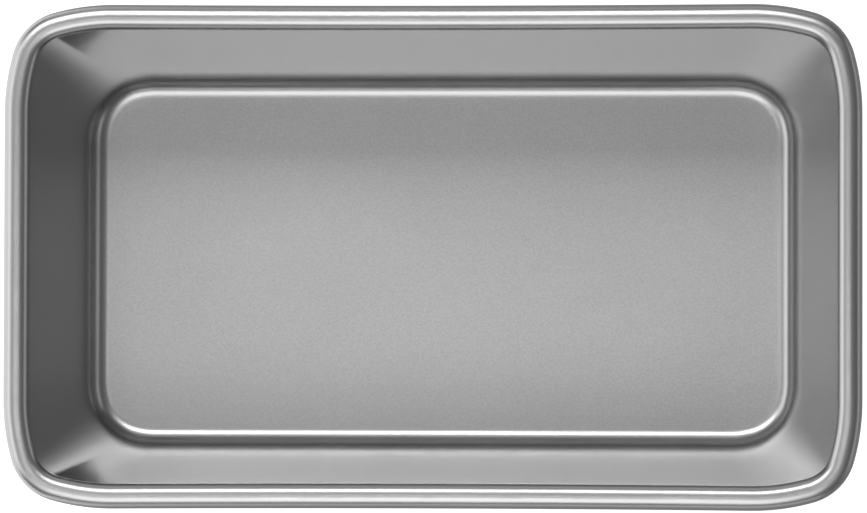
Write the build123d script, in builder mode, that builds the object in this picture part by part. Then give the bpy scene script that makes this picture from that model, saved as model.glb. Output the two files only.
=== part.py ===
from build123d import *

import os
from math import cos, degrees, radians, sin, tan

# Loaf pan. One sheet of steel is drawn into a tub with leaning walls and a rounded floor edge,
# and its top edge is rolled right round a steel wire. Millimetres and degrees. +X runs along
# the length, +Z is up, and the origin is the centre of the base.

os.makedirs("parts", exist_ok=True)

# Driving dimensions -------------------------------------------------------------------------
sheet = 0.8  # thickness of the steel
opening_length = 228.6  # inside the walls at the rim
opening_width = 128.5
height = 70.0  # base to the top of the rim
draft = 9.6  # lean of every wall from upright
floor_edge_radius = 5.0  # inside radius between floor and wall

floor_corner_radius = 16.0  # the tub's upright corners where the walls would meet the floor
floor_corner_blend_radius = 24.0
rim_corner_radius = 9.2  # the opening's corners
rim_corner_blend_radius = 56.0
corner_blend_angle = 15.75  # each corner is a tight arc between two blends of this turn
side_bow = 0.35  # how far springback pulls the middle of each long side in, at the rim

crown_radius = 5.0  # the nearly flat top of the rim
crown_inner_slope = 14.0  # slope of the rim where the lip meets the crown
crown_outer_slope = 16.0  # slope of the rim where the crown meets the roll
roll_turn = 250.0  # how far the edge is rolled from the crown, round the wire to the tail
wall_below_lip = 1.0  # height of straight wall rolled in one with the rim

wire_diameter = 4.4
wire_clearance = 0.1  # all round, between the wire and the roll
wire_joint_gap = 1.2  # between the wire's two butted ends
seam_gap = 0.3  # between the roll and the wall's outer face

# Sizes that follow --------------------------------------------------------------------------
wall_slope = 90 - draft
wall_lean = tan(radians(draft))
level_sheet = sheet / cos(radians(draft))  # the wall's thickness measured level
wire_radius = wire_diameter / 2
roll_radius = wire_radius + wire_clearance + sheet


def arc_run(radius, slope_before, slope_after):
    """Level distance along an arc over the top of the rim, between two slopes."""
    return radius * (sin(radians(slope_before)) - sin(radians(slope_after)))


def arc_rise(radius, slope_before, slope_after):
    """Height gained along an arc over the top of the rim, between two slopes."""
    return radius * (cos(radians(slope_after)) - cos(radians(slope_before)))


crown_run = arc_run(crown_radius, crown_inner_slope, -crown_outer_slope)
crown_drop = -arc_rise(crown_radius, crown_inner_slope, -crown_outer_slope)
crown_rise = arc_rise(crown_radius, crown_inner_slope, 0)
crown_fall = -arc_rise(crown_radius, 0, -crown_outer_slope)

# The wire's centre, measured from the crown's outer end.
roll_run = roll_radius * sin(radians(crown_outer_slope))
roll_drop = roll_radius * cos(radians(crown_outer_slope))

# The lip, where the wall turns outwards into the rim, is as large as the roll beside it needs.
# At the wire's height the roll then clears the wall's outer face by seam_gap.
wall_to_wire = level_sheet + seam_gap + roll_radius
lip_needs = wall_to_wire + roll_run - crown_run - wall_lean * (roll_drop + crown_drop)
lip_radius = lip_needs / (
    arc_run(1, wall_slope, crown_inner_slope)
    - wall_lean * arc_rise(1, wall_slope, crown_inner_slope)
)
lip_run = arc_run(lip_radius, wall_slope, crown_inner_slope)
lip_rise = arc_rise(lip_radius, wall_slope, crown_inner_slope)

mouth_z = height - crown_rise - lip_rise - wall_below_lip
mouth_length = opening_length - 2 * wall_below_lip * wall_lean
mouth_width = opening_width - 2 * wall_below_lip * wall_lean
mouth_corner_radius = rim_corner_radius - wall_below_lip * wall_lean
mouth_corner_blend_radius = rim_corner_blend_radius - wall_below_lip * wall_lean
floor_length = mouth_length - 2 * (mouth_z - sheet) * wall_lean
floor_width = mouth_width - 2 * (mouth_z - sheet) * wall_lean
wire_reach = wall_below_lip * wall_lean + lip_run + crown_run - roll_run
wire_z = height - crown_fall - roll_drop


# Plan outlines ------------------------------------------------------------------------------
def corner_reach(radius, blend_radius):
    """How far back from a sharp corner the rounding starts."""
    turn = radians(corner_blend_angle)
    return blend_radius * (sin(turn) + 1 - cos(turn)) + radius * (cos(turn) - sin(turn))


def plan_outline(length, width, radius, blend_radius, bow_turn=0.0):
    """Closed outline with straight ends, three-arc corners and long sides bowed inwards."""
    straight_end = width / 2 - corner_reach(radius, blend_radius)
    with BuildLine() as outline:
        end = Line((length / 2, 0), (length / 2, straight_end))
        first_blend = JernArc(end @ 1, end % 1, blend_radius, corner_blend_angle)
        corner = JernArc(first_blend @ 1, first_blend % 1, radius, 90 - 2 * corner_blend_angle)
        last_blend = JernArc(corner @ 1, corner % 1, blend_radius, corner_blend_angle + bow_turn)
        side_start = last_blend @ 1
        if bow_turn:
            side_radius = side_start.X / sin(radians(bow_turn))
            JernArc(side_start, last_blend % 1, side_radius, -bow_turn)
        else:
            Line(side_start, (0, side_start.Y))
        mirror(about=Plane.YZ)
        mirror(about=Plane.XZ)
    return outline.line


half_side = mouth_length / 2 - corner_reach(mouth_corner_radius, mouth_corner_blend_radius)
rim_bow_turn = degrees(2 * side_bow / half_side)


def mouth_outline(grow):
    """The tub's outline where the rim starts, moved outwards by grow."""
    return plan_outline(
        mouth_length + 2 * grow,
        mouth_width + 2 * grow,
        mouth_corner_radius + grow,
        mouth_corner_blend_radius + grow,
        rim_bow_turn,
    )


def floor_outline(grow):
    """The outline in which the tub's walls would meet its floor, moved outwards by grow."""
    return plan_outline(
        floor_length + 2 * grow,
        floor_width + 2 * grow,
        floor_corner_radius + grow,
        floor_corner_blend_radius + grow,
    )


def tub(floor_z, grow, edge_radius):
    """Solid tub from floor_z to the mouth, with its floor edge rounded."""
    with BuildPart() as body:
        with BuildSketch(Plane.XY.offset(floor_z)):
            add(floor_outline(grow - (sheet - floor_z) * wall_lean))
            make_face()
        with BuildSketch(Plane.XY.offset(mouth_z)):
            add(mouth_outline(grow))
            make_face()
        loft(ruled=True)
        fillet(body.faces().sort_by(Axis.Z)[0].edges(), edge_radius)
    return body.part


def sheet_face(inset):
    """Section line of the rim from the mouth to the tail, inset from the sheet's upper face."""
    with BuildLine() as face:
        wall = PolarLine(
            (mouth_length / 2 + inset / cos(radians(draft)), mouth_z),
            wall_below_lip / cos(radians(draft)) - inset * wall_lean,
            wall_slope,
        )
        lip = JernArc(wall @ 1, wall % 1, lip_radius - inset, crown_inner_slope - wall_slope)
        crown_turn = crown_inner_slope + crown_outer_slope
        crown = JernArc(lip @ 1, lip % 1, crown_radius - inset, -crown_turn)
        JernArc(crown @ 1, crown % 1, roll_radius - inset, -roll_turn)
    return face.line


# Shell: drawn tub with the rolled rim --------------------------------------------------------
with BuildPart() as pan_shell:
    add(tub(0, level_sheet, floor_edge_radius + sheet))
    add(tub(sheet, 0, floor_edge_radius), mode=Mode.SUBTRACT)
    with BuildLine(Plane.XY.offset(mouth_z)) as rim_path:
        add(mouth_outline(0))
    with BuildSketch(Plane.XZ) as rim_section:
        upper = sheet_face(0)
        under = sheet_face(sheet)
        with BuildLine():
            add(upper)
            add(under)
            Line(upper @ 0, under @ 0)
            Line(upper @ 1, under @ 1)
        make_face()
    sweep(sections=rim_section.sketch, path=rim_path.line)
pan_shell.part.label = "pan_shell"
export_step(pan_shell.part, "parts/pan_shell.step")

# Wire: bent to the rim's outline, its ends butted in the middle of one long side --------------
with BuildPart() as rim_wire:
    with BuildLine(Plane.XY.offset(wire_z)) as wire_path:
        add(mouth_outline(wire_reach))
    with BuildSketch(Plane.XZ) as wire_section:
        with Locations((mouth_length / 2 + wire_reach, wire_z)):
            Circle(wire_radius)
    sweep(sections=wire_section.sketch, path=wire_path.line)
    with Locations((0, -mouth_width / 2 - wire_reach, wire_z)):
        Box(wire_joint_gap, 2 * wire_diameter, 2 * wire_diameter, mode=Mode.SUBTRACT)
rim_wire.part.label = "rim_wire"
export_step(rim_wire.part, "parts/rim_wire.step")
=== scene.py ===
# %% [markdown]
# # A loaf pan in silver-grey non-stick steel
#
# The real pan is one sheet of steel. A press draws it into a tub with leaning walls, and the edge
# left standing round the top is rolled outwards over a loop of steel wire. This notebook builds
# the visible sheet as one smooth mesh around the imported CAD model, gives it a sparkling metallic
# coating, and lights it the way bakeware is usually shown: from straight above, between soft lights.
#
# The first cell loads the CAD model. It is the fixed frame: every size and place comes from it.

from math import cos, pi, radians, sin, tan

import bmesh
import bpy
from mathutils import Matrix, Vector


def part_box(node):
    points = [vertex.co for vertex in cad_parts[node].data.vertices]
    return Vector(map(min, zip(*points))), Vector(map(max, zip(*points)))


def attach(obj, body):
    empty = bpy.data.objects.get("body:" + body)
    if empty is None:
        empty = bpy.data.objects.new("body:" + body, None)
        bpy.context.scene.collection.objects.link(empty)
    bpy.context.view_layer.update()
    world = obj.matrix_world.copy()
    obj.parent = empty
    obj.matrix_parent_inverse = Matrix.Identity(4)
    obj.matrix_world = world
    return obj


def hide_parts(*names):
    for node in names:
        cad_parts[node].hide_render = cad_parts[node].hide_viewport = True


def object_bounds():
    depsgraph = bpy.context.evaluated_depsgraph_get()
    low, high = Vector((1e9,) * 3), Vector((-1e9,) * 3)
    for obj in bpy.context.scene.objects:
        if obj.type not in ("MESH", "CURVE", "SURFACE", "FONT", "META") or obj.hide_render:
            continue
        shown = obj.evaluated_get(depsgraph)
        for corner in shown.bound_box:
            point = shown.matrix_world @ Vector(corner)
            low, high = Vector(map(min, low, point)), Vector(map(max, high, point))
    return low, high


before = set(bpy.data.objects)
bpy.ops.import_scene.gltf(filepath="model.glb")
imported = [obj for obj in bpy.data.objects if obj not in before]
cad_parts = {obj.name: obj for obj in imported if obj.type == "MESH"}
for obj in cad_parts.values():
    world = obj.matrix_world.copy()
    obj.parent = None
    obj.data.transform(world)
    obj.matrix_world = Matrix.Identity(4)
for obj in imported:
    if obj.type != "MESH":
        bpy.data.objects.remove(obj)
cad_low, cad_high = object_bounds()
shell_low, shell_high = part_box("pan_shell")
wire_low, wire_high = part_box("rim_wire")
print("CAD box, mm:", [round(1000 * v, 2) for v in cad_high - cad_low])

# %% [markdown]
# ## Sizes of the sheet
#
# The outside sizes, the wire and the height of the rim are read from the frame. What a box can't
# say, such as how thick the steel is or how its bends are rounded, is given here once, in
# millimetres turned to metres. The wall's lean and the bends over the rim then follow from
# plain trigonometry, as they do on the drawing that the press tools are cut from.

# %% Sheet, bends and lean
MM = 0.001
sheet = 0.8 * MM
wall_slope = radians(80.4)
lean = pi / 2 - wall_slope
floor_edge_radius = 5.0 * MM

crown_radius = 5.0 * MM
crown_inner_slope = radians(14)
crown_outer_slope = radians(16)
seam_gap = 0.3 * MM
roll_turn = radians(250)

height = shell_high.z
wire_radius = (wire_high.z - wire_low.z) / 2
roll_radius = wire_radius + shell_high.x - wire_high.x


def arc_run(radius, slope_before, slope_after):
    """Level distance along a bend over the top of the rim, between two slopes."""
    return radius * (sin(slope_before) - sin(slope_after))


def arc_rise(radius, slope_before, slope_after):
    """Height gained along that bend."""
    return radius * (cos(slope_after) - cos(slope_before))


crown_run = arc_run(crown_radius, crown_inner_slope, -crown_outer_slope)
crown_drop = crown_radius * (cos(crown_inner_slope) - cos(crown_outer_slope))
roll_run = roll_radius * sin(crown_outer_slope)
roll_drop = roll_radius * cos(crown_outer_slope)
wall_to_wire = sheet / cos(lean) + seam_gap + roll_radius
lip_needs = wall_to_wire + roll_run - crown_run - tan(lean) * (roll_drop + crown_drop)
lip_radius = lip_needs / (
    arc_run(1, wall_slope, crown_inner_slope) - tan(lean) * arc_rise(1, wall_slope, crown_inner_slope)
)
rim_width = arc_run(lip_radius, wall_slope, crown_inner_slope) + crown_run + roll_radius - roll_run
mouth_z = (
    height
    - arc_rise(lip_radius, wall_slope, crown_inner_slope)
    - arc_rise(crown_radius, crown_inner_slope, 0)
)
print("rim is", round(rim_width / MM, 2), "mm wide, lip radius", round(lip_radius / MM, 2))

# %% [markdown]
# ## Plan outlines
#
# Seen from above, the opening has nearly straight sides and generous corners. A press tool's
# corner isn't one plain arc: a tight arc sits between two slacker ones, so the sheet flows in
# without wrinkles. The long sides are also pulled in by a fraction of a millimetre, because
# thin sheet springs back. One function draws such an outline from five sizes. It is used twice,
# for the line where the walls leave the floor and for the line where they turn into the rim.
# Both have the same number of points, so the walls are simply ruled from one to the other.

# %% Two outlines with three-arc corners
corner_blend_angle = radians(15.75)
side_bow = 0.35 * MM
mouth_corner_radius = 9.2 * MM
mouth_corner_blend_radius = 56 * MM
floor_corner_radius = 16 * MM
floor_corner_blend_radius = 24 * MM
POINTS = {"half end": 10, "blend": 10, "corner": 24, "half side": 16}


def corner_reach(radius, blend_radius):
    """How far back from a sharp corner the rounding starts."""
    turn = corner_blend_angle
    return blend_radius * (sin(turn) + 1 - cos(turn)) + radius * (cos(turn) - sin(turn))


def arc_points(centre, radius, start, end, count):
    """Points on an arc in the plan, each with its outward direction; the last point is left out."""
    angles = [start + (end - start) * k / count for k in range(count)]
    return [(centre + radius * Vector((cos(a), sin(a))), Vector((cos(a), sin(a)))) for a in angles]


def quarter_outline(length, width, radius, blend_radius, bow):
    """One quarter of an outline, from the middle of an end to the middle of a long side."""
    reach = corner_reach(radius, blend_radius)
    turn = corner_blend_angle
    end_top = width / 2 - reach
    steps = POINTS["half end"]
    points = [(Vector((length / 2, end_top * k / steps)), Vector((1, 0))) for k in range(steps)]
    first = Vector((length / 2 - blend_radius, end_top))
    middle = first + (blend_radius - radius) * Vector((cos(turn), sin(turn)))
    last = middle - (blend_radius - radius) * Vector((sin(turn), cos(turn)))
    bow_turn = 2 * bow / (length / 2 - reach)
    quarter = pi / 2
    points += arc_points(first, blend_radius, 0, turn, POINTS["blend"])
    points += arc_points(middle, radius, turn, quarter - turn, POINTS["corner"])
    points += arc_points(last, blend_radius, quarter - turn, quarter + bow_turn, POINTS["blend"])
    side_start = last + blend_radius * Vector((-sin(bow_turn), cos(bow_turn)))
    steps = POINTS["half side"]
    for k in range(steps + 1):
        left = 1 - k / steps
        turn_here = bow_turn * left
        drop = side_start.x * bow_turn * (1 - left**2) / 2
        point = Vector((side_start.x * left, side_start.y - drop))
        points.append((point, Vector((-sin(turn_here), cos(turn_here)))))
    return points


def full_outline(*sizes):
    """The closed outline, anticlockwise from the middle of the +X end, with outward directions."""
    quarter = quarter_outline(*sizes)

    def flipped(x, y):
        flip = Vector((x, y))
        return [(point * flip, outward * flip) for point, outward in quarter]

    second, third, fourth = flipped(-1, 1)[::-1], flipped(-1, -1), flipped(1, -1)[::-1]
    return quarter + second[1:] + third[1:] + fourth[1:-1]


opening_length = shell_high.x - shell_low.x - 2 * rim_width
opening_width = shell_high.y - shell_low.y - 2 * rim_width
wall_spread = (mouth_z - sheet) * tan(lean)
floor_length = opening_length - 2 * wall_spread
floor_width = opening_width - 2 * wall_spread
mouth_line = full_outline(
    opening_length, opening_width, mouth_corner_radius, mouth_corner_blend_radius, side_bow
)
floor_line = full_outline(floor_length, floor_width, floor_corner_radius, floor_corner_blend_radius, 0)
print("opening", round(opening_length / MM, 1), "x", round(opening_width / MM, 1), "mm")
print(len(mouth_line), "points round each outline")

# %% [markdown]
# ## The sheet's own path
#
# Next comes the section that a saw would show: from the middle of the floor, up the wall's inner
# face, over the rim, round the wire, and back down the outer face. Each stop on that path is a
# station. A station doesn't say where it is, only what part of the bend it is at, so the same
# list serves every place round the pan, even at the corners, where the wall leans further.
#
# * `inward` runs from the floor's edge (0) to the ridge in the middle of the floor (1)
# * `bend` runs round the rounded floor edge, `climb` up the straight wall, both from 0 to 1
# * `skin` is 0 on the inner face and 1 on the outer face
# * `out` and `up` are the steps from the top of the wall over the rim, in metres

# %% Stations from the floor over the rim and back
COUNTS = {"floor edge": 16, "wall": 10, "lip": 16, "crown": 14, "roll": 48, "tail": 6}
KEYS = ("inward", "bend", "climb", "skin", "out", "up")


def station(inward=0.0, bend=1.0, climb=1.0, skin=0.0, out=0.0, up=0.0):
    return dict(zip(KEYS, (inward, bend, climb, skin, out, up)))


def tub_stations(skin):
    """One face of the tub, from the ridge of the floor to just under the rim."""
    stops = [station(inward=1.0, bend=0.0, climb=0.0, skin=skin)]
    stops += [station(inward=share, bend=0.0, climb=0.0, skin=skin) for share in (0.5, 0.03)]
    steps = COUNTS["floor edge"]
    stops += [station(bend=k / steps, climb=0.0, skin=skin) for k in range(steps)]
    steps = COUNTS["wall"]
    stops += [station(climb=k / steps, skin=skin) for k in range(steps)]
    return stops


def rim_face(inset, detail):
    """(out, up) points of one face of the sheet over the rim, inset below the upper face."""
    slopes = [wall_slope, crown_inner_slope, -crown_outer_slope, -crown_outer_slope - roll_turn]
    bends = zip(("lip", "crown", "roll"), (lip_radius, crown_radius, roll_radius), slopes, slopes[1:])
    place = Vector((inset * sin(wall_slope), -inset * cos(wall_slope)))
    points = [place]
    for name, radius, before, after in bends:
        centre = place - (radius - inset) * Vector((-sin(before), cos(before)))
        steps = round(COUNTS[name] * detail)
        for k in range(1, steps + 1):
            slope = before + (after - before) * k / steps
            points.append(centre + (radius - inset) * Vector((-sin(slope), cos(slope))))
        place = points[-1]
    return points


def tail_points(upper_end, under_end):
    """The sheet's cut edge, at the end of the roll, with its burr rubbed round."""
    middle = (upper_end + under_end) / 2
    across = upper_end - middle
    ahead = Vector((across.y, -across.x))
    turns = [pi * k / COUNTS["tail"] for k in range(1, COUNTS["tail"])]
    return [middle + across * cos(t) + ahead * sin(t) for t in turns]


upper_face = rim_face(0, 1.0)
under_face = rim_face(sheet, 0.6)
over_rim = upper_face + tail_points(upper_face[-1], under_face[-1]) + under_face[::-1]
stations = tub_stations(0.0) + [station(out=p.x, up=p.y) for p in over_rim] + tub_stations(1.0)[::-1]
print(len(stations), "stations from the floor over the rim and back")

# %% [markdown]
# ## Lofting the pan with Geometry Nodes
#
# The pan's shape is a rule, so a node tree can make all of it: take a grid with one row for each
# station and one column for each point round the outline, and move every corner of the grid to
# where the rule puts it. Modelling it by hand would be quicker once, but then a new wall lean or
# a new edge radius would mean starting again. Here they are inputs of the tree.
#
# The outlines and the stations travel into the tree as loose points on three small helper
# objects, which are thrown away afterwards.

# %% Helper objects that carry points and numbers
def helper_points(name, places, **numbers):
    """A mesh of loose points, each with some named numbers or vectors."""
    mesh = bpy.data.meshes.new(name)
    mesh.from_pydata(places, [], [])
    for key, values in numbers.items():
        vector = isinstance(values[0], Vector)
        layer = mesh.attributes.new(key, "FLOAT_VECTOR" if vector else "FLOAT", "POINT")
        flat = [x for v in values for x in v] if vector else values
        layer.data.foreach_set("vector" if vector else "value", flat)
    made = bpy.data.objects.new(name, mesh)
    bpy.context.scene.collection.objects.link(made)
    return made


floor_guide = helper_points("floor_guide", [(p.x, p.y, sheet) for p, _ in floor_line])
mouth_guide = helper_points(
    "mouth_guide",
    [(p.x, p.y, mouth_z) for p, _ in mouth_line],
    outward=[Vector((o.x, o.y, 0)) for _, o in mouth_line],
)
section_guide = helper_points(
    "section_guide", [(0, 0, 0)] * len(stations), **{key: [s[key] for s in stations] for key in KEYS}
)

# %% [markdown]
# A tree made in a script soon turns into a wall of boilerplate. These few helpers add a node,
# fill its sockets with numbers or links, and hand back its output, so that the rule below can be
# read almost as a formula.

# %% Small helpers for writing node trees
def add_node(tree, kind, sockets=None, **settings):
    """Adds a node; sockets maps an input's name or number to a value or to another output."""
    made = tree.nodes.new(kind)
    for key, value in settings.items():
        setattr(made, key, value)
    for key, value in (sockets or {}).items():
        if isinstance(value, bpy.types.NodeSocket):
            tree.links.new(value, made.inputs[key])
        else:
            made.inputs[key].default_value = value
    return made


def number(tree, operation, *values, kind="ShaderNodeMath"):
    """The result of a Math node."""
    return add_node(tree, kind, dict(enumerate(values)), operation=operation).outputs[0]


def vector(tree, operation, *values, scale=None):
    """The result of a Vector Math node; a length or a dot product comes out as a number."""
    sockets = dict(enumerate(values))
    if scale is not None:
        sockets["Scale"] = scale
    made = add_node(tree, "ShaderNodeVectorMath", sockets, operation=operation)
    return made.outputs["Value" if operation in ("LENGTH", "DOT_PRODUCT") else "Vector"]


def blend(tree, factor, before, after):
    """Straight blend from one vector to another."""
    made = add_node(tree, "ShaderNodeMix", data_type="VECTOR")
    for socket, value in ((0, factor), (4, before), (5, after)):
        tree.links.new(value, made.inputs[socket])
    return made.outputs[1]


def named(tree, key, data_type="FLOAT"):
    """A number or vector stored on the geometry under a name."""
    return add_node(tree, "GeometryNodeInputNamedAttribute", {"Name": key}, data_type=data_type).outputs[0]


def sampled(tree, guide, value, index, data_type="FLOAT"):
    """The value that a guide object carries at one of its points."""
    geometry = add_node(tree, "GeometryNodeObjectInfo", {"Object": guide}).outputs["Geometry"]
    sockets = {"Geometry": geometry, "Value": value, "Index": index}
    return add_node(tree, "GeometryNodeSampleIndex", sockets, data_type=data_type).outputs[0]


# %% [markdown]
# The rule itself. At each place round the pan, the line from the floor outline to the mouth
# outline gives the wall's lean there. A ball of the floor edge's radius, rolled along the corner
# between floor and wall, gives the rounded edge. Past the top of the wall, the rim's section is
# carried outwards, square to the outline. Both faces of the sheet come from the same few lines:
# the outer face only has a sheet's thickness added to every radius.

# %% The drawn-pan tree
SEAM_CLOSING = 0.02 * MM


def drawn_pan_tree():
    tree = bpy.data.node_groups.new("drawn_pan", "GeometryNodeTree")
    face = tree.interface
    face.new_socket("Geometry", in_out="INPUT", socket_type="NodeSocketGeometry")
    for name, kind in (
        ("Floor Outline", "Object"),
        ("Mouth Outline", "Object"),
        ("Section", "Object"),
        ("Stations", "Int"),
        ("Points Round", "Int"),
        ("Floor Edge Radius", "Float"),
        ("Sheet Thickness", "Float"),
        ("Ridge Half Length", "Float"),
        ("Finish", "Material"),
    ):
        face.new_socket(name, in_out="INPUT", socket_type="NodeSocket" + kind)
    face.new_socket("Geometry", in_out="OUTPUT", socket_type="NodeSocketGeometry")
    given = tree.nodes.new("NodeGroupInput").outputs

    # Which station and which place round the outline each corner of the grid stands for.
    columns = number(tree, "ADD", given["Points Round"], 1, kind="FunctionNodeIntegerMath")
    grid = add_node(
        tree,
        "GeometryNodeMeshGrid",
        {"Vertices X": given["Stations"], "Vertices Y": columns},
    ).outputs["Mesh"]
    index = tree.nodes.new("GeometryNodeInputIndex").outputs[0]
    row = number(tree, "DIVIDE_FLOOR", index, columns, kind="FunctionNodeIntegerMath")
    column = number(tree, "MODULO", index, columns, kind="FunctionNodeIntegerMath")
    column = number(tree, "MODULO", column, given["Points Round"], kind="FunctionNodeIntegerMath")
    position = tree.nodes.new("GeometryNodeInputPosition").outputs[0]
    at = {key: sampled(tree, given["Section"], named(tree, key), row) for key in KEYS}

    # The wall's line here, its lean, and the ball rolled along its foot.
    foot = sampled(tree, given["Floor Outline"], position, column, "FLOAT_VECTOR")
    head = sampled(tree, given["Mouth Outline"], position, column, "FLOAT_VECTOR")
    outward = named(tree, "outward", "FLOAT_VECTOR")
    outward = sampled(tree, given["Mouth Outline"], outward, column, "FLOAT_VECTOR")
    wall = vector(tree, "SUBTRACT", head, foot)
    aside = vector(tree, "NORMALIZE", outward)
    lean_here = number(
        tree,
        "ARCTAN2",
        vector(tree, "DOT_PRODUCT", wall, aside),
        vector(tree, "DOT_PRODUCT", wall, (0, 0, 1)),
    )
    full_bend = number(tree, "SUBTRACT", pi / 2, lean_here)
    radius = given["Floor Edge Radius"]
    setback = number(tree, "MULTIPLY", radius, number(tree, "TANGENT", number(tree, "DIVIDE", full_bend, 2)))
    ball = vector(tree, "SUBTRACT", foot, vector(tree, "SCALE", aside, scale=setback))
    ball = vector(tree, "ADD", ball, add_node(tree, "ShaderNodeCombineXYZ", {"Z": radius}).outputs[0])

    # The point on the ball, then the same point carried up the wall.
    turned = number(tree, "MULTIPLY", at["bend"], full_bend)
    sideways = vector(tree, "SCALE", aside, scale=number(tree, "SINE", turned))
    downward = number(tree, "MULTIPLY", number(tree, "COSINE", turned), -1)
    facing = vector(tree, "ADD", sideways, add_node(tree, "ShaderNodeCombineXYZ", {"Z": downward}).outputs[0])
    skin = number(tree, "MULTIPLY", at["skin"], given["Sheet Thickness"])
    on_ball = vector(tree, "SCALE", facing, scale=number(tree, "ADD", radius, skin))
    on_ball = vector(tree, "ADD", ball, on_ball)
    wall_top = vector(tree, "ADD", head, vector(tree, "SCALE", facing, scale=skin))
    on_wall = blend(tree, at["climb"], on_ball, wall_top)

    # Over the rim, square to the outline, and in to the floor's ridge.
    over = vector(tree, "SCALE", outward, scale=at["out"])
    over = vector(tree, "ADD", over, add_node(tree, "ShaderNodeCombineXYZ", {"Z": at["up"]}).outputs[0])
    on_sheet = vector(tree, "ADD", on_wall, over)
    parts = add_node(tree, "ShaderNodeSeparateXYZ", {0: on_sheet}).outputs
    ridge_end = number(tree, "MULTIPLY", given["Ridge Half Length"], -1)
    ridge_x = number(tree, "MINIMUM", parts["X"], given["Ridge Half Length"])
    ridge_x = number(tree, "MAXIMUM", ridge_x, ridge_end)
    ridge = add_node(tree, "ShaderNodeCombineXYZ", {"X": ridge_x, "Z": parts["Z"]}).outputs[0]
    place = blend(tree, at["inward"], on_sheet, ridge)

    moved = add_node(tree, "GeometryNodeSetPosition", {"Geometry": grid, "Position": place}).outputs[0]
    seams = {"Geometry": moved, "Distance": SEAM_CLOSING}
    closed = add_node(tree, "GeometryNodeMergeByDistance", seams).outputs[0]
    smooth = add_node(tree, "GeometryNodeSetShadeSmooth", {"Geometry": closed}).outputs[0]
    real = add_node(tree, "GeometryNodeRealizeInstances", {"Geometry": smooth}).outputs[0]
    finish = {"Geometry": real, "Material": given["Finish"]}
    out = tree.nodes.new("NodeGroupOutput")
    tree.links.new(add_node(tree, "GeometryNodeSetMaterial", finish).outputs[0], out.inputs[0])
    return tree


pan_tree = drawn_pan_tree()
print("drawn_pan tree:", len(pan_tree.nodes), "nodes")

# %% [markdown]
# ## Grain that both finishes share
#
# Under a lens neither finish is even. The coating is full of tiny metal flakes that lie a little
# differently from their neighbours, and the bare wire has fine lines from the die that it was
# drawn through. Both are small cells that differ in shade, only at another size and stretched
# another way, so one shader node group makes them. It takes a position, the number of cells in a
# metre and how much they differ, and gives back a shade around 1 and a height for a bump.
#
# A noise texture could do it too, but its blobs run into each other, while Voronoi cells have
# edges, as flakes have. The height is a noise, because a bump made from hard-edged cells glitters
# at their edges instead of on their faces.

# %% A fine-grain node group
def fine_grain_group():
    group = bpy.data.node_groups.new("fine_grain", "ShaderNodeTree")
    for name, kind in (("Position", "Vector"), ("Cells per Metre", "Float"), ("Contrast", "Float")):
        group.interface.new_socket(name, in_out="INPUT", socket_type="NodeSocket" + kind)
    for name in ("Shade", "Height"):
        group.interface.new_socket(name, in_out="OUTPUT", socket_type="NodeSocketFloat")
    given = group.nodes.new("NodeGroupInput").outputs
    pattern = {"Vector": given["Position"], "Scale": given["Cells per Metre"]}
    cells = add_node(group, "ShaderNodeTexVoronoi", pattern).outputs["Color"]
    random = add_node(group, "ShaderNodeSeparateColor", {0: cells}).outputs["Red"]
    swing = number(group, "MULTIPLY", number(group, "SUBTRACT", random, 0.5), 2.0)
    shade = number(group, "MULTIPLY_ADD", swing, given["Contrast"], 1.0)
    height_noise = add_node(group, "ShaderNodeTexNoise", {**pattern, "Detail": 1.0}).outputs[0]
    out = group.nodes.new("NodeGroupOutput")
    group.links.new(shade, out.inputs["Shade"])
    group.links.new(height_noise, out.inputs["Height"])
    return group


fine_grain = fine_grain_group()
print("fine_grain group:", len(fine_grain.nodes), "nodes")

# %% [markdown]
# ## The silver-grey coating
#
# The coating is a thin baked film of resin with metal flakes in it, sprayed on the flat sheet
# before it is pressed. It looks like grey metal, not like paint, so the shader is metallic.
#
# The press changes it. Where the sheet slid between punch and die, on the walls, the film is ironed
# smooth and its reflections are crisp. The floor's rounded edge and the rim were only bent, so
# they stay softer, and the flat floor was hardly touched: it keeps the sprayed film's coarse
# flakes and spreads the light widely. Three materials with borders between them could show that,
# but one material whose roughness changes with the height above the table is simpler and has no
# seams, because nothing but the floor lies lower than its rounded edge.
#
# Use leaves marks as well. The crown of the rim is rubbed a little brighter where pans are
# stacked, and the underside has long scuffs from oven racks. Each mark is kept faint.

# %% Helpers for finishes
def new_finish(name):
    """An empty metallic material; gives its node tree, its shader and the position on the piece."""
    finish = bpy.data.materials.new(name)
    finish.use_nodes = True
    tree = finish.node_tree
    shader = tree.nodes["Principled BSDF"]
    shader.inputs["Metallic"].default_value = 1.0
    return finish, tree, shader, tree.nodes.new("ShaderNodeTexCoord").outputs["Object"]


def ramp(tree, value, start, end, before=0.0, after=1.0):
    """A smooth change from one number to another while value goes from start to end."""
    sockets = {"Value": value, "From Min": start, "From Max": end, "To Min": before, "To Max": after}
    return add_node(tree, "ShaderNodeMapRange", sockets, interpolation_type="SMOOTHSTEP").outputs[0]


def noise(tree, position, scale, stretch=(1, 1, 1), detail=2.0):
    """Soft noise around 0.5, with scale blobs in a metre; a small stretch makes longer blobs."""
    stretched = vector(tree, "MULTIPLY", position, stretch)
    sockets = {"Vector": stretched, "Scale": scale, "Detail": detail}
    return add_node(tree, "ShaderNodeTexNoise", sockets).outputs[0]


def product(tree, *factors):
    """All factors multiplied together."""
    result = factors[0]
    for factor in factors[1:]:
        result = number(tree, "MULTIPLY", result, factor)
    return result


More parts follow.
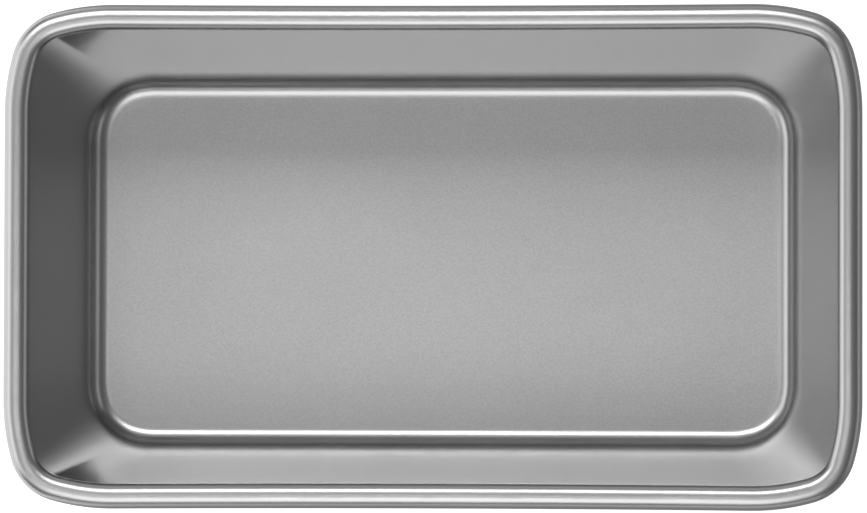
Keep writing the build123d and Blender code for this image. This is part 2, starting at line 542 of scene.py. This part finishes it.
def grain(tree, position, cells_per_metre, contrast):
    """The shared grain group's shade and height."""
    sockets = {"Position": position, "Cells per Metre": cells_per_metre, "Contrast": contrast}
    group = tree.nodes.new("ShaderNodeGroup")
    group.node_tree = fine_grain
    for key, value in sockets.items():
        if isinstance(value, bpy.types.NodeSocket):
            tree.links.new(value, group.inputs[key])
        else:
            group.inputs[key].default_value = value
    return group.outputs["Shade"], group.outputs["Height"]


# %% Silver-grey coating
COATING_GREY = 0.42
FLOOR_ROUGHNESS = 0.36
BENT_ROUGHNESS = 0.30
IRONED_ROUGHNESS = 0.16
FLAKES_PER_METRE = 3000
FLAKE_CONTRAST = 0.015
FLOOR_FLAKE_CONTRAST = 0.08
FLAKE_DEPTH = 0.004 * MM
CLOUDS_PER_METRE = 22
DIE_LINES_PER_METRE = 900
RUBS_PER_METRE = 90
LONG_SCUFFS_PER_METRE = 500
SHORT_SCUFFS_PER_METRE = 400
RUB_BRIGHTENS = 0.07
SCUFF_BRIGHTENS = 0.30


def silver_coating():
    finish, tree, shader, position = new_finish("silver_nonstick")
    level = add_node(tree, "ShaderNodeSeparateXYZ", {0: position}).outputs["Z"]
    matt = ramp(tree, level, sheet + 0.003 * MM, sheet + 0.04 * MM, before=1.0, after=0.0)
    above_edge = ramp(tree, level, sheet + 0.6 * floor_edge_radius, sheet + 1.3 * floor_edge_radius)
    below_rim = ramp(tree, level, mouth_z - 0.5 * MM, mouth_z + 1.5 * MM, before=1.0, after=0.0)
    ironed = product(tree, above_edge, below_rim)

    more_on_floor = FLOOR_FLAKE_CONTRAST - FLAKE_CONTRAST
    flake_contrast = number(tree, "MULTIPLY_ADD", matt, more_on_floor, FLAKE_CONTRAST)
    flakes, flake_height = grain(tree, position, FLAKES_PER_METRE, flake_contrast)
    cloud = noise(tree, position, CLOUDS_PER_METRE)
    die_lines = noise(tree, position, DIE_LINES_PER_METRE, stretch=(1, 1, 0.02))

    crown = ramp(tree, level, height - 0.16 * MM, height - 0.02 * MM)
    rubbed = product(tree, crown, ramp(tree, noise(tree, position, RUBS_PER_METRE), 0.42, 0.62))
    underside = ramp(tree, level, 0.01 * MM, 0.03 * MM, before=1.0, after=0.0)
    long_scuffs = noise(tree, position, LONG_SCUFFS_PER_METRE, stretch=(0.03, 1, 1), detail=4.0)
    long_scuffs = ramp(tree, long_scuffs, 0.60, 0.68)
    short_scuffs = noise(tree, position, SHORT_SCUFFS_PER_METRE, stretch=(1, 0.08, 1), detail=4.0)
    short_scuffs = ramp(tree, short_scuffs, 0.64, 0.72)
    scuffed = product(tree, underside, number(tree, "MAXIMUM", long_scuffs, short_scuffs))

    grey = product(
        tree,
        flakes,
        COATING_GREY,
        ramp(tree, cloud, 0.3, 0.7, 0.985, 1.015),
        ramp(tree, die_lines, 0.3, 0.7, 0.994, 1.006),
        number(tree, "MULTIPLY_ADD", rubbed, RUB_BRIGHTENS, 1.0),
        number(tree, "MULTIPLY_ADD", scuffed, SCUFF_BRIGHTENS, 1.0),
    )
    roughness = number(tree, "MULTIPLY_ADD", matt, FLOOR_ROUGHNESS - BENT_ROUGHNESS, BENT_ROUGHNESS)
    roughness = number(tree, "MULTIPLY_ADD", ironed, IRONED_ROUGHNESS - BENT_ROUGHNESS, roughness)
    for mask, change in ((cloud, 0.03), (die_lines, 0.012), (rubbed, -0.02), (scuffed, -0.12)):
        roughness = number(tree, "MULTIPLY_ADD", mask, change, roughness)
    bump = number(tree, "MULTIPLY", flake_height, number(tree, "MULTIPLY_ADD", matt, 0.9, 0.1))
    lifted = add_node(tree, "ShaderNodeBump", {"Height": bump, "Distance": FLAKE_DEPTH}).outputs[0]
    tree.links.new(grey, shader.inputs["Base Color"])
    tree.links.new(roughness, shader.inputs["Roughness"])
    tree.links.new(lifted, shader.inputs["Normal"])
    print(finish.name, "has", len(tree.nodes), "nodes")
    return finish


coating = silver_coating()

# %% [markdown]
# ## The bare wire
#
# Ordinary drawn steel wire, cut and bent but not coated, is all that the rim hides. Only a sliver
# of it can be seen, from underneath, through the seam between the rolled edge and the wall. Its
# lines run along the wire, which lies level, so the same grain group does them when the pattern is
# stretched level and squeezed upwards.

# %% Drawn wire finish
WIRE_GREY = 0.55
WIRE_ROUGHNESS = 0.26
DRAWN_LINES_PER_METRE = 5000
DRAWN_LINE_CONTRAST = 0.12
DRAWN_LINE_DEPTH = 0.003 * MM
BLOTCHES_PER_METRE = 150


def wire_finish():
    finish, tree, shader, position = new_finish("drawn_wire")
    drawn = vector(tree, "MULTIPLY", position, (0.02, 0.02, 1))
    lines, line_height = grain(tree, drawn, DRAWN_LINES_PER_METRE, DRAWN_LINE_CONTRAST)
    blotches = noise(tree, position, BLOTCHES_PER_METRE)
    grey = product(tree, lines, WIRE_GREY, ramp(tree, blotches, 0.3, 0.7, 0.93, 1.04))
    roughness = number(tree, "MULTIPLY_ADD", blotches, 0.12, WIRE_ROUGHNESS)
    bump = {"Height": line_height, "Distance": DRAWN_LINE_DEPTH}
    lifted = add_node(tree, "ShaderNodeBump", bump).outputs[0]
    tree.links.new(grey, shader.inputs["Base Color"])
    tree.links.new(roughness, shader.inputs["Roughness"])
    tree.links.new(lifted, shader.inputs["Normal"])
    return finish


rim_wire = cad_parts["rim_wire"]
rim_wire.data.materials.clear()
rim_wire.data.materials.append(wire_finish())
print("rim_wire keeps its CAD shape and gets", rim_wire.data.materials[0].name)

# %% [markdown]
# ## Growing the pan
#
# The tree runs on an empty object, as a modifier whose inputs are set here. The evaluated result
# is then copied into a plain mesh and the modifier is taken off, so what rides on the CAD frame is
# one closed mesh that any program can read. The last lines count its open edges, of which a maker
# wants none, and print how much steel is in it.

# %% Growing the pan
def grown_mesh(name, tree, inputs):
    """Runs a tree on an empty mesh and keeps the result as a plain mesh object."""
    seed = bpy.data.objects.new(name, bpy.data.meshes.new(name))
    bpy.context.scene.collection.objects.link(seed)
    modifier = seed.modifiers.new("grow", "NODES")
    modifier.node_group = tree
    sockets = {s.name: s.identifier for s in tree.interface.items_tree if s.in_out == "INPUT"}
    for key, value in inputs.items():
        modifier[sockets[key]] = value
    bpy.context.view_layer.update()
    grown = seed.evaluated_get(bpy.context.evaluated_depsgraph_get())
    mesh = bpy.data.meshes.new_from_object(grown)
    seed.modifiers.clear()
    seed.data = mesh
    mesh.name = name
    return seed


pan = grown_mesh(
    "drawn_pan",
    pan_tree,
    {
        "Floor Outline": floor_guide,
        "Mouth Outline": mouth_guide,
        "Section": section_guide,
        "Stations": len(stations),
        "Points Round": len(mouth_line),
        "Floor Edge Radius": floor_edge_radius,
        "Sheet Thickness": sheet,
        "Ridge Half Length": (floor_length - floor_width) / 2,
        "Finish": coating,
    },
)
for guide in (floor_guide, mouth_guide, section_guide):
    bpy.data.objects.remove(guide)

skin_check = bmesh.new()
skin_check.from_mesh(pan.data)
bmesh.ops.recalc_face_normals(skin_check, faces=skin_check.faces)
open_edges = sum(not e.is_manifold for e in skin_check.edges)
volume = skin_check.calc_volume(signed=True)
skin_check.to_mesh(pan.data)
skin_check.free()
print(len(pan.data.polygons), "faces,", open_edges, "open edges,", round(volume / MM**3), "cubic mm")
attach(pan, "root")
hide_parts("pan_shell")

# %% [markdown]
# ## The table
#
# The pan stands on a plain white table that glows, as a studio's light table does. White paint
# under lamps would do too, but then the paint lights the outside of the rim, and the rim's edge is
# lost against the table. So the glow is only where the table is seen directly,
# and what the pan sees of it is a mid grey, except on the left, where the table lights it too.
# The table's top lies a hair below the pan, because two faces in one plane show through each other.

# %% A white table
TABLE_REACH = 3.0
HAIR_BELOW = 0.2 * MM
TABLE_GREY = 0.36
TABLE_GLOW = 0.88
LEFT_GLOW_FULL = cad_low.x - 0.06
LEFT_GLOW_ENDS = cad_low.x - 0.01
table_corners = [
    (x * TABLE_REACH, y * TABLE_REACH, -HAIR_BELOW) for x, y in ((-1, -1), (1, -1), (1, 1), (-1, 1))
]
table_mesh = bpy.data.meshes.new("white_table")
table_mesh.from_pydata(table_corners, [], [(0, 1, 2, 3)])
white_table = bpy.data.objects.new("white_table", table_mesh)
bpy.context.scene.collection.objects.link(white_table)
white_paint = bpy.data.materials.new("white_table")
white_paint.use_nodes = True
paint_tree = white_paint.node_tree
paint = paint_tree.nodes["Principled BSDF"]
paint.inputs["Base Color"].default_value = (TABLE_GREY, TABLE_GREY, TABLE_GREY, 1)
paint.inputs["Roughness"].default_value = 0.9
paint.inputs["Emission Color"].default_value = (1, 1, 1, 1)
seen_directly = paint_tree.nodes.new("ShaderNodeLightPath").outputs["Is Camera Ray"]
table_place = paint_tree.nodes.new("ShaderNodeTexCoord").outputs["Object"]
across = add_node(paint_tree, "ShaderNodeSeparateXYZ", {0: table_place}).outputs["X"]
left_glow = ramp(paint_tree, across, LEFT_GLOW_FULL, LEFT_GLOW_ENDS, before=1.0, after=0.0)
seen_glow = number(paint_tree, "MULTIPLY", seen_directly, TABLE_GLOW)
glow = number(paint_tree, "MAXIMUM", seen_glow, left_glow)
paint_tree.links.new(glow, paint.inputs["Emission Strength"])
table_mesh.materials.append(white_paint)
print("table is", 2 * TABLE_REACH, "m wide")

# %% [markdown]
# ## The camera
#
# The camera hangs almost straight above the pan and looks down with a long lens, so the walls
# foreshorten to narrow bands and the rim frames the picture. A long lens from far away would show
# the walls even narrower, and a short lens from close by would show them wide and the floor small.
# It hangs a few centimetres to the right and to the front, which is why the left and the back
# wall look wider than their opposites. It is turned to match instead of being shifted.

# %% Camera over the pan
CAMERA_ABOVE_RIM = 1.43
CAMERA_RIGHT = 0.071
CAMERA_FRONT = 0.038
CAMERA_TIP, CAMERA_LEAN, CAMERA_TWIST = radians(1.530), radians(2.816), radians(0.14)
LENS_MM = 210.27
SENSOR_MM = 36

rim_z = (wire_low.z + wire_high.z) / 2
camera_data = bpy.data.cameras.new("camera")
camera_data.sensor_width = SENSOR_MM
camera_data.lens = LENS_MM
camera_data.clip_end = 20
camera = bpy.data.objects.new("camera", camera_data)
bpy.context.scene.collection.objects.link(camera)
camera.location = (CAMERA_RIGHT, -CAMERA_FRONT, rim_z + CAMERA_ABOVE_RIM)
camera.rotation_euler = (CAMERA_TIP, CAMERA_LEAN, CAMERA_TWIST)
bpy.context.scene.camera = camera
print("camera", round(camera.location.z, 3), "m above the table")

# %% [markdown]
# ## The lamps
#
# A metal pan has hardly any colour of its own. What one sees is the room in it, bent by every
# curve, so the lamps are chosen by where their reflections fall. The rim is the best guide: its
# round top turns through every direction in seven millimetres and shows the whole ceiling as
# parallel lines. Two long soft boxes overhead, a bright one towards the back and a softer one
# towards the front, give its pair of bright lines, and the darker gap between them is where the
# camera looks through. The pan's own walls shade the floor from the two, so it is palest in the
# middle. Weaker boxes carry both on to the left and the right, a narrow one hangs beside the
# camera, and low panels all round light the outside. The right is the dim side, so that the two
# ends of the pan differ.
#
# Each soft box is given by the angles off the vertical that it fills, seen from the pan, because
# that is what a reflection shows. One function turns them into a place and a size.

# %% Soft boxes by angle
BOX_HEIGHT = 1.2


def soft_lamp(name, place, aim, width, depth, brightness):
    """An area lamp whose whole face has the given brightness; it isn't seen directly."""
    data = bpy.data.lights.new(name, "AREA")
    data.shape = "RECTANGLE"
    data.size, data.size_y = width, depth
    data.energy = brightness * pi * width * depth
    lamp = bpy.data.objects.new(name, data)
    bpy.context.scene.collection.objects.link(lamp)
    lamp.location = place
    lamp.rotation_mode = "QUATERNION"
    lamp.rotation_quaternion = (Vector(aim) - Vector(place)).to_track_quat("-Z", "Y")
    lamp.visible_camera = False
    print(name, round(width, 2), "x", round(depth, 2), "m")


def soft_box(name, left, right, front, back, brightness):
    """A level soft box overhead between four angles off the vertical, in degrees."""
    x0, x1, y0, y1 = (BOX_HEIGHT * tan(radians(a)) for a in (left, right, front, back))
    middle = ((x0 + x1) / 2, (y0 + y1) / 2)
    soft_lamp(name, (*middle, BOX_HEIGHT), (*middle, 0), x1 - x0, y1 - y0, brightness)


# name, then the angles to the left, right, front and back, then the brightness
soft_box("back_box", -36, 12, 26, 42, 7.6)
soft_box("back_box_left_end", -60, -36, 22, 42, 1.3)
soft_box("back_box_right_end", 12, 34, 29, 40, 0.8)
soft_box("front_box", -22, 15, -44, -15, 2.5)
soft_box("front_box_middle", -22, 15, -34, -22, 3.5)
soft_box("front_box_left_end", -40, -22, -44, -23, 1.1)
soft_box("camera_side_box", -24, 10, -4, 1, 2.8)
soft_box("left_ceiling", -62, -36, -35, 20, 1.1)

PANEL_AWAY = 1.4
PANEL_WIDTH = 1.6
PAN_MIDDLE = (0, 0, 0.05)
soft_lamp("left_wall_panel", (-PANEL_AWAY, 0, 0.5), PAN_MIDDLE, PANEL_WIDTH, 1.0, 1.3)
soft_lamp("front_wall_panel", (0, -PANEL_AWAY, 0.3), PAN_MIDDLE, PANEL_WIDTH, 0.5, 0.8)
soft_lamp("right_wall_panel", (PANEL_AWAY, 0, 0.3), PAN_MIDDLE, PANEL_WIDTH, 0.5, 0.6)
soft_lamp("back_wall_panel", (0, PANEL_AWAY, 0.3), PAN_MIDDLE, PANEL_WIDTH, 0.5, 0.6)

ROOM_GREY = 0.16
room = bpy.data.worlds.new("room")
room.use_nodes = True
room.node_tree.nodes["Background"].inputs["Color"].default_value = (ROOM_GREY, ROOM_GREY, ROOM_GREY, 1)
bpy.context.scene.world = room
bpy.context.scene.view_settings.view_transform = "Standard"
